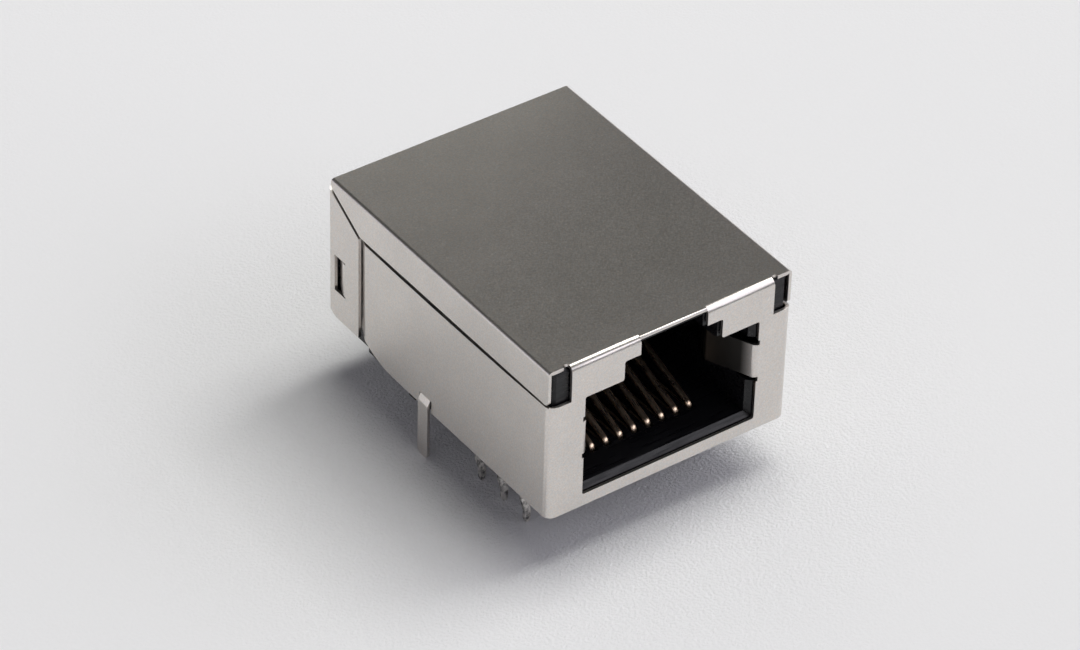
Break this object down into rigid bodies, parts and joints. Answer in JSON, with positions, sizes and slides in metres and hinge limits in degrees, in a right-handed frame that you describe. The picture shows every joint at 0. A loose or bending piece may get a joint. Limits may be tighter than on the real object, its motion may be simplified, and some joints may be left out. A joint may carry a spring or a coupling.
{
  "type": "ethernet connector",
  "caption": "Low shielded right-angle modular jack for a circuit board, latch side up, with a folded metal shield, gold contact springs and magnetics behind the port.",
  "frame": {"origin": "on the board's face, midway between the two locating pegs", "axes": "+Z away from the board, +Y from the port towards the rear, +X across the port to the right as seen when looking into it"},
  "size_m": [0.0178, 0.0229, 0.0142],
  "materials": {
    "shield_plate": "satin nickel plate with a fine speckle, bright at folds and cut edges",
    "black_plastic": "moulded black, slightly glossy",
    "contact_gold": "bright gold plate on phosphor bronze",
    "pin_tin": "matt tin plate on copper alloy",
    "board_laminate": "green solder mask",
    "ferrite": "matt grey-black ferrite",
    "magnet_wire": "enamelled copper",
    "chip_ceramic": "ceramic"
  },
  "bodies": {
    "root": {"shield": "shield_plate", "housing": "black_plastic", "contact_insert": "black_plastic", "inner_circuit_board": "board_laminate", "coil_tray": "black_plastic", "contact_1": "contact_gold", "contact_2": "contact_gold", "contact_3": "contact_gold", "contact_4": "contact_gold", "contact_5": "contact_gold", "contact_6": "contact_gold", "contact_7": "contact_gold", "contact_8": "contact_gold", "left_board_pin_1": "pin_tin", "left_board_pin_2": "pin_tin", "left_board_pin_3": "pin_tin", "right_board_pin_1": "pin_tin", "right_board_pin_2": "pin_tin", "right_board_pin_3": "pin_tin", "rear_board_pin_1": "pin_tin", "rear_board_pin_2": "pin_tin", "rear_board_pin_3": "pin_tin", "rear_board_pin_4": "pin_tin", "toroid_core_1": "ferrite", "toroid_core_2": "ferrite", "toroid_core_3": "ferrite", "toroid_core_4": "ferrite", "toroid_winding_1": "magnet_wire", "toroid_winding_2": "magnet_wire", "toroid_winding_3": "magnet_wire", "toroid_winding_4": "magnet_wire", "chip_resistor_1": "chip_ceramic", "chip_resistor_2": "chip_ceramic", "chip_resistor_3": "chip_ceramic", "chip_resistor_4": "chip_ceramic", "chip_capacitor": "chip_ceramic"}
  },
  "joints": []
}
